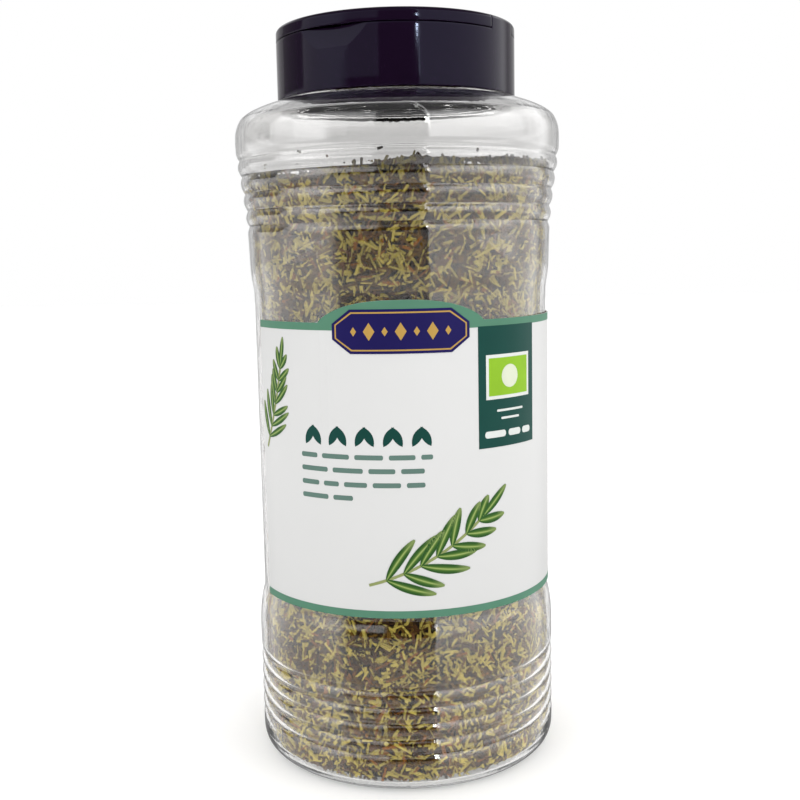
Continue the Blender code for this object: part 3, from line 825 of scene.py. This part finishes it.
# The dark panel hangs from the top band on the right, with a framed lime square and plain rules
PANEL_X = (around(28.0), around(56.8))
wrap_print("print_panel", [box(PANEL_X[0], 93.0, PANEL_X[1], 125.2)], INK_DARK_GREEN, 1)
wrap_print("print_square_frame", [box(around(31.2), 105.8, around(53.6), 117.6)], (236, 238, 234), 2)
wrap_print("print_square", [box(around(32.4), 106.7, around(52.4), 116.7)], INK_LIME, 3)
spot_turns = np.linspace(0, math.tau, 24, endpoint=False)
spot = [(around(42.4) + 3.1 * math.cos(a), 111.7 + 3.1 * math.sin(a)) for a in spot_turns]
wrap_print("print_square_spot", [spot], (232, 238, 214), 4)
rules = [box(around(36.0), 102.4, around(49.6), 103.0, 0.25),
         box(around(38.0), 100.3, around(47.4), 100.9, 0.25),
         box(around(30.6), 95.6, around(40.2), 97.4, 0.8), box(around(41.6), 95.6, around(48.2), 97.4, 0.8),
         box(around(49.4), 95.6, around(54.4), 97.4, 0.8)]
wrap_print("print_panel_rules", rules, (232, 236, 232), 2)

# The badge under the arch: a plain navy lozenge with a gold line and a row of small gold lozenges
def lozenge(width, height, cut):
    """An eight-sided plaque outline centred on the badge, with its ends cut to a blunt point."""
    w, h = width / 2, height / 2
    return [(-w, 124.7 - h * 0.35), (-w, 124.7 + h * 0.35), (-w + cut, 124.7 + h), (w - cut, 124.7 + h),
            (w, 124.7 + h * 0.35), (w, 124.7 - h * 0.35), (w - cut, 124.7 - h), (-w + cut, 124.7 - h)]


wrap_print("print_badge", [lozenge(36.5, 11.4, 5.0)], INK_NAVY, 2)
wrap_print("print_badge_line", [lozenge(34.9, 10.0, 4.5)], INK_GOLD, 3)
wrap_print("print_badge_field", [lozenge(34.1, 9.2, 4.3)], INK_NAVY, 4)
gems = []
for k in range(-3, 4):
    w, h = (1.5, 2.3) if k % 2 == 0 else (0.8, 1.2)
    gems.append([(4.1 * k - w, 124.7), (4.1 * k, 124.7 - h), (4.1 * k + w, 124.7), (4.1 * k, 124.7 + h)])
wrap_print("print_badge_gems", gems, INK_GOLD, 5)


# The heading and the four small lines under it: a row of plain leaf shapes, then worn-type dashes
def leaf_outline(x, z, length, width, degrees):
    """A plain pointed leaf, with its foot at (x, z)."""
    turn = math.radians(degrees)
    points = []
    for side in (1, -1):
        for k in range(9):
            t = k / 8 if side == 1 else 1 - k / 8
            if side == -1 and k in (0, 8):
                continue
            u = length * t
            v = side * width / 2 * math.sin(math.pi * t) ** 0.8
            points.append((x + u * math.cos(turn) - v * math.sin(turn),
                           z + u * math.sin(turn) + v * math.cos(turn)))
    return points


heading = []
heading_x = around(-38.9)
for k in range(10):
    lean = 62.0 if k % 2 == 0 else 118.0
    x = heading_x + 1.3 + k * 3.75 + (0.0 if k % 2 == 0 else 1.2)
    heading.append(leaf_outline(x, 94.9, 5.9, 2.3, lean))
wrap_print("print_heading", heading, INK_DARK_GREEN, 0)
words = random.Random(21)
dashes = []
for row, (z, reach) in enumerate(((91.2, 10.5), (87.6, 7.5), (83.9, 11.5), (80.3, -16.0))):
    x = around(-39.3)
    limit = around(reach)
    while x < limit - 3.0:
        wide = min(words.uniform(4.5, 9.5), limit - x)
        dashes.append(box(x, z + 0.2, x + wide, z + 1.5, 0.5))
        x += wide + 1.5
wrap_print("print_dashes", dashes, INK_GREY_GREEN, 0)

# Small print on the back of the label, as columns of thin dashes
small = []
for column in (150.0, 176.0, 202.0):
    for row in range(19):
        x = around(column)
        limit = around(column + words.uniform(14.0, 22.0))
        while x < limit - 2.0:
            wide = min(words.uniform(2.0, 5.0), limit - x)
            small.append(box(x, 114.0 - 2.6 * row, x + wide, 114.8 - 2.6 * row))
            x += wide + 0.8
wrap_print("print_small", small, (150, 156, 153), 0)


# Printed sprigs: narrow green leaves in pairs along a curved stem, each with a pale rib
SPRIG_TONES = ((0.0, (176, 190, 120)), (0.07, (120, 150, 74)), (0.2, (66, 104, 44)), (0.42, (44, 82, 40)),
               (0.5, (78, 116, 66)))
SPRIG_TIP = (132, 152, 92)


def sprig_leaf_material():
    """Printed leaf: dark green with a pale middle rib and lighter tip, from the leaf's own UV map."""
    mat, tree, ink = new_finish("sprig_leaf_print", Roughness=0.42, Specular_IOR_Level=0.05)
    split = add_node(tree, "ShaderNodeSeparateXYZ")
    tree.links.new(add_node(tree, "ShaderNodeUVMap", {"uv_map": "leaf"}).outputs["UV"], split.inputs[0])
    rib = add_math(tree, "ABSOLUTE", add_math(tree, "SUBTRACT", split.outputs["X"], 0.5))
    body = add_ramp(tree, rib, SPRIG_TONES, dim=PRINT_DIM)
    tip = (*(c * PRINT_DIM for c in linear(SPRIG_TIP)), 1.0)
    tipped = add_blend(tree, add_edge(tree, split.outputs["Y"], 0.65, 1.0), body, tip)
    tree.links.new(tipped, ink.inputs["Base Color"])
    return mat


def sprig_leaves(bm, uv, root, degrees, length, width, bend, level):
    """One printed leaf as a curved strip, wrapped on the label and closed behind."""
    x, z = root
    turn = math.radians(degrees)
    spine = []
    for k in range(15):
        spine.append((x, z))
        x += length / 14 * math.cos(turn)
        z += length / 14 * math.sin(turn)
        turn += math.radians(bend) / 14
    rows = []
    for k, (x, z) in enumerate(spine):
        t = k / 14
        ahead = spine[min(k + 1, 14)]
        behind = spine[max(k - 1, 0)]
        run = Vector((ahead[0] - behind[0], ahead[1] - behind[1])).normalized()
        half = width / 2 * max(0.04, math.sin(math.pi * min(1.0, t * 0.96 + 0.02)) ** 0.6)
        row = []
        for s in (-1.0, -0.55, 0.0, 0.55, 1.0):
            px, pz = x - run.y * half * s, z + run.x * half * s
            row.append((px, pz, s))
        rows.append(row)
    layers = []
    for radius in (LABEL_R + INK_LIFT * (1 + level), LABEL_R - 0.02):
        layers.append([[bm.verts.new((radius * math.sin(px / LABEL_R), -radius * math.cos(px / LABEL_R), pz))
                        for px, pz, _ in row] for row in rows])
    front, rear = layers
    for k in range(14):
        for j in range(4):
            face = bm.faces.new((front[k][j], front[k][j + 1], front[k + 1][j + 1], front[k + 1][j]))
            for loop, (kk, jj) in zip(face.loops, ((k, j), (k, j + 1), (k + 1, j + 1), (k + 1, j))):
                loop[uv].uv = (0.5 + rows[kk][jj][2] / 2, kk / 14)
            bm.faces.new((rear[k][j], rear[k + 1][j], rear[k + 1][j + 1], rear[k][j + 1]))
        for j, turn_over in ((0, False), (4, True)):
            corners = (front[k][j], front[k + 1][j], rear[k + 1][j], rear[k][j])
            bm.faces.new(corners[::-1] if turn_over else corners)
    for k in (0, 14):
        for j in range(4):
            corners = (front[k][j], rear[k][j], rear[k][j + 1], front[k][j + 1])
            bm.faces.new(corners if k == 0 else corners[::-1])


leaf_print = sprig_leaf_material()
SPRIGS = (((around(-13.0), 58.0), 16.0, 36.0, 26.0, 1.15, 0),
          ((around(-61.5), 92.0), 62.0, 25.0, 16.0, 0.8, 50))
for number, (root, degrees, length, curve, size, seed) in enumerate(SPRIGS):
    habit = random.Random(seed + 3)
    bm = bmesh.new()
    uv = bm.loops.layers.uv.new("leaf")
    stem = []
    x, z = root
    turn = math.radians(degrees)
    steps = 22
    for k in range(steps + 1):
        stem.append((x, z, math.degrees(turn)))
        x += length / steps * math.cos(turn)
        z += length / steps * math.sin(turn)
        turn += math.radians(curve) / steps
    for k in range(3, steps + 1, 3):
        x, z, heading_now = stem[k]
        for side in (1, -1):
            reach = (13.5 - 0.32 * k) * size * habit.uniform(0.85, 1.12)
            lean = heading_now + side * habit.uniform(30.0, 52.0)
            sprig_leaves(bm, uv, (x, z), lean, reach, 2.3 * size, -side * 14.0, 2)
    x, z, heading_now = stem[-1]
    sprig_leaves(bm, uv, (x, z), heading_now, 9.5 * size, 2.1 * size, 4.0, 2)
    leaves = settle(bm, f"print_sprig_leaves_{number}", leaf_print, sharp=30.0)
    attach(leaves, "jar")
    stem_strips = []
    for (x0, z0, h0), (x1, z1, h1) in zip(stem, stem[1:]):
        a0, a1 = math.radians(h0 + 90), math.radians(h1 + 90)
        stem_strips.append([(x0 - 0.4 * math.cos(a0), z0 - 0.4 * math.sin(a0)),
                            (x1 - 0.38 * math.cos(a1), z1 - 0.38 * math.sin(a1)),
                            (x1 + 0.38 * math.cos(a1), z1 + 0.38 * math.sin(a1)),
                            (x0 + 0.4 * math.cos(a0), z0 + 0.4 * math.sin(a0))])
    wrap_print(f"print_sprig_stem_{number}", stem_strips, (150, 160, 104), 1)

# Cap: a glossy dark screw-on closure. A fixed bridge runs across its top, the deck on one side
# is a sieve and on the other an open pour mouth, and a finger recess is cut under each flap.
CAP_R = 33.5
CAP_LOW_Z = 186.8
CAP_TOP_Z = 206.4
CAP_EDGE = 1.2
SKIRT_INNER_R = 32.0
SKIRT_UPPER_INNER_R = 30.8
SKIRT_STEP_Z = 195.2
RIM_Z = 202.6
DECK_LOW_Z = 200.9
DECK_Z = 202.4
DECK_EDGE_R = 32.0
BRIDGE_ANGLE = 60.3
BRIDGE_HALF = 5.95
HOLE_R = 3.2
HOLE_ROWS = ((11.6, (-13.8, -4.6, 4.6, 13.8)), (20.4, (-9.2, 0.0, 9.2)))
POUR_R = 25.6
POUR_NEAR = 9.0
RECESS_TOP_DEPTH = 1.6
RECESS_CREASE_Z = 197.3
RECESS_CREASE_DEPTH = 0.34
RECESS_TIP_Z = 194.5
CAP_SEGMENTS = 192
SOFT_EDGE = 0.22
CAP_SHEEN_TINT = (0.62, 0.74, 1.0, 1.0)
CAP_COLOURS = ((0.0058, 0.0021, 0.0084, 1.0), (0.0078, 0.0032, 0.0108, 1.0))
RECESS_UPPER_SLOPE = (RECESS_TOP_DEPTH - RECESS_CREASE_DEPTH) / (RIM_Z - RECESS_CREASE_Z)
RECESS_LOWER_SLOPE = RECESS_CREASE_DEPTH / (RECESS_CREASE_Z - RECESS_TIP_Z)


def cap_material():
    """Moulded dark plastic: glossy, a little uneven in sheen, with a very fine mould grain."""
    mat, tree, moulded = new_finish("cap_gloss", Specular_IOR_Level=0.078, Specular_Tint=CAP_SHEEN_TINT)
    sheen = add_noise(tree, 60.0, 5.0)
    rough = add_node(tree, "ShaderNodeMapRange", Value=sheen, To_Min=0.03, To_Max=0.08)
    tree.links.new(rough.outputs["Result"], moulded.inputs["Roughness"])
    tree.links.new(add_blend(tree, sheen, *CAP_COLOURS), moulded.inputs["Base Color"])
    add_relief(tree, moulded, add_noise(tree, 1400.0), 0.05, 0.0001)
    return mat


def cap_turn(flap):
    """Rotation that takes +X along a flap, away from the bridge, and +Y along the bridge."""
    degrees = BRIDGE_ANGLE - 90.0 if flap == "sprinkle" else BRIDGE_ANGLE + 90.0
    return Matrix.Rotation(math.radians(degrees - 90.0), 4, "Z")


def corner_arc(cr, cz, radius, start, stop, steps):
    """Points of a rounded edge in the (radius, height) plane, from one angle to another."""
    turns = [math.radians(start + (stop - start) * k / steps) for k in range(steps + 1)]
    return [(cr + radius * math.cos(a), cz + radius * math.sin(a)) for a in turns]


def raw_object(bm, name):
    """An object in millimetres, for the cutting steps that come before settle."""
    bmesh.ops.recalc_face_normals(bm, faces=bm.faces)
    return from_bmesh(bm, name)


def prism(outline, low, high, matrix):
    """A straight-sided cutter with the given outline between two heights."""
    bm = bmesh.new()
    face = bm.faces.new([bm.verts.new((x, y, low)) for x, y in outline])
    raised = bmesh.ops.extrude_face_region(bm, geom=[face])
    tops = [v for v in raised["geom"] if isinstance(v, bmesh.types.BMVert)]
    bmesh.ops.translate(bm, vec=(0, 0, high - low), verts=tops)
    bmesh.ops.transform(bm, matrix=matrix, verts=bm.verts)
    return raw_object(bm, "cutter")


def carve(blank, cutter, operation="DIFFERENCE"):
    """Apply one Boolean to the blank and remove the cutter."""
    step = blank.modifiers.new("cut", "BOOLEAN")
    step.object = cutter
    step.operation = operation
    step.solver = "MANIFOLD"
    cut = bpy.data.meshes.new_from_object(blank.evaluated_get(bpy.context.evaluated_depsgraph_get()))
    blank.modifiers.clear()
    blank.data = cut
    bpy.data.objects.remove(cutter)


def soften(blank, width):
    """Round every clear edge of the blank a little and return it as a bmesh in millimetres."""
    step = blank.modifiers.new("soft", "BEVEL")
    step.width = width
    step.segments = 2
    step.limit_method = "ANGLE"
    step.angle_limit = math.radians(28.0)
    step.use_clamp_overlap = True
    mesh = bpy.data.meshes.new_from_object(blank.evaluated_get(bpy.context.evaluated_depsgraph_get()))
    bm = bmesh.new()
    bm.from_mesh(mesh)
    bpy.data.objects.remove(blank)
    return bm


def disc(x, y, radius, steps):
    """Outline of a whole disc about (x, y)."""
    turns = [math.tau * k / steps for k in range(steps)]
    return [(x + radius * math.cos(a), y + radius * math.sin(a)) for a in turns]


def beyond(near):
    """Outline of a block that holds all of the cap beyond a straight edge, along +X."""
    wide = CAP_R + 5.0
    return [(near, -wide), (wide, -wide), (wide, wide), (near, wide)]


def half_disc(radius, near, steps):
    """Outline of the part of a disc that lies beyond a straight edge, along +X."""
    reach = math.acos(near / radius)
    turns = [-reach + 2.0 * reach * k / steps for k in range(steps + 1)]
    return [(radius * math.cos(a), radius * math.sin(a)) for a in turns]


def mark_recess(piece):
    """Keep the edges of the flat finger recess crisp, where smoothing would hide them."""
    mesh = piece.data
    flats = []
    for flap in ("sprinkle", "pour"):
        for slope in (RECESS_UPPER_SLOPE, -RECESS_LOWER_SLOPE):
            flats.append(cap_turn(flap).to_3x3() @ Vector((1.0, 0.0, slope)).normalized())
    beside = {}
    for face in mesh.polygons:
        alike = [n for n, flat in enumerate(flats) if face.normal.dot(flat) > 0.999995 and face.area > 2e-6]
        for key in face.edge_keys:
            beside.setdefault(key, []).append(alike[0] if alike else -1)
    crisp = mesh.attributes["sharp_edge"].data if "sharp_edge" in mesh.attributes else None
    for edge in mesh.edges:
        pair = beside.get(tuple(sorted(edge.vertices)), [])
        if crisp is not None and len(set(pair)) > 1:
            crisp[edge.index].value = True


cap_gloss = cap_material()
skirt = [(0.0, DECK_LOW_Z), (SKIRT_UPPER_INNER_R, DECK_LOW_Z), (SKIRT_UPPER_INNER_R, SKIRT_STEP_Z + 1.4),
         (SKIRT_INNER_R, SKIRT_STEP_Z), (SKIRT_INNER_R, CAP_LOW_Z + 0.2), (SKIRT_INNER_R + 0.2, CAP_LOW_Z)]
skirt += corner_arc(CAP_R - 0.45, CAP_LOW_Z + 0.45, 0.45, -90.0, 0.0, 5)
skirt += [(CAP_R, z) for z in (190.0, 193.0, 196.0, 199.0, 202.0)]
skirt += corner_arc(CAP_R - CAP_EDGE, CAP_TOP_Z - CAP_EDGE, CAP_EDGE, 0.0, 90.0, 9) + [(0.0, CAP_TOP_Z)]
blank = raw_object(turned(skirt, CAP_SEGMENTS), "dark_cap")
for flap in ("sprinkle", "pour"):
    turn = cap_turn(flap)
    carve(blank, prism(beyond(BRIDGE_HALF), RIM_Z, CAP_TOP_Z + 2.0, turn))
    carve(blank, prism(half_disc(DECK_EDGE_R, BRIDGE_HALF + 0.02, 72), DECK_Z, CAP_TOP_Z + 1.0, turn))
    high = RIM_Z + 1.0
    section = [(CAP_R - RECESS_TOP_DEPTH - RECESS_UPPER_SLOPE, high),
               (CAP_R - RECESS_CREASE_DEPTH, RECESS_CREASE_Z),
               (CAP_R + RECESS_LOWER_SLOPE, RECESS_TIP_Z - 1.0),
               (CAP_R + 4.0, RECESS_TIP_Z - 1.0), (CAP_R + 4.0, high)]
    upright = turn @ Matrix.Rotation(math.pi / 2, 4, "X")
    carve(blank, prism(section, -15.0, 15.0, upright))
for out, row in HOLE_ROWS:
    for across in row:
        hole = disc(out, across, HOLE_R, 40)
        carve(blank, prism(hole, DECK_LOW_Z - 2.0, DECK_Z + 2.0, cap_turn("sprinkle")))
carve(blank, prism(half_disc(POUR_R, POUR_NEAR, 60), DECK_LOW_Z - 2.0, DECK_Z + 2.0, cap_turn("pour")))
dark_cap = settle(soften(blank, SOFT_EDGE), "dark_cap", cap_gloss, sharp=38.0)
mark_recess(dark_cap)
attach(dark_cap, "cap")
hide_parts("cap_base")

# Flaps: two D-shaped lids with a turned-down rim, one over the sieve and one over the pour mouth.
# Under the first are seven short studs, one over each hole, and under the other a sealing ridge.
FLAP_LOW_Z = 202.9
FLAP_PLATE = 1.4
FLAP_RIM_WALL = 1.4
FLAP_NEAR = 6.25
STUD_R = 2.3


def lid(name, flap):
    """One flap, turned as a full dish and then cut along its hinge line."""
    rim_r = CAP_R - FLAP_RIM_WALL
    plate_z = CAP_TOP_Z - FLAP_PLATE
    shell = [(0.0, plate_z), (rim_r - 0.5, plate_z), (rim_r - 0.15, plate_z - 0.15), (rim_r, plate_z - 0.5),
             (rim_r, FLAP_LOW_Z), (CAP_R - 0.2, FLAP_LOW_Z), (CAP_R, FLAP_LOW_Z + 0.2), (CAP_R, 204.0)]
    shell += corner_arc(CAP_R - CAP_EDGE, CAP_TOP_Z - CAP_EDGE, CAP_EDGE, 0.0, 90.0, 9) + [(0.0, CAP_TOP_Z)]
    blank = raw_object(turned(shell, CAP_SEGMENTS), name)
    turn = cap_turn(flap)
    carve(blank, prism(beyond(FLAP_NEAR), FLAP_LOW_Z - 2.0, CAP_TOP_Z + 2.0, turn), "INTERSECT")
    if flap == "sprinkle":
        for out, row in HOLE_ROWS:
            for across in row:
                stud = disc(out, across, STUD_R, 28)
                carve(blank, prism(stud, FLAP_LOW_Z + 0.1, plate_z + 0.4, turn), "UNION")
    else:
        ridge = prism(half_disc(POUR_R - 0.6, POUR_NEAR + 0.6, 60), FLAP_LOW_Z + 0.1, plate_z + 0.4, turn)
        hollow = half_disc(POUR_R - 1.8, POUR_NEAR + 1.8, 60)
        carve(ridge, prism(hollow, FLAP_LOW_Z - 1.0, plate_z + 1.0, turn))
        carve(blank, ridge, "UNION")
    piece = settle(soften(blank, 0.18), name, cap_gloss, sharp=38.0)
    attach(piece, flap + "_flap")
    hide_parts("flap_" + flap)


lid("sprinkle_lid", "sprinkle")
lid("pour_lid", "pour")
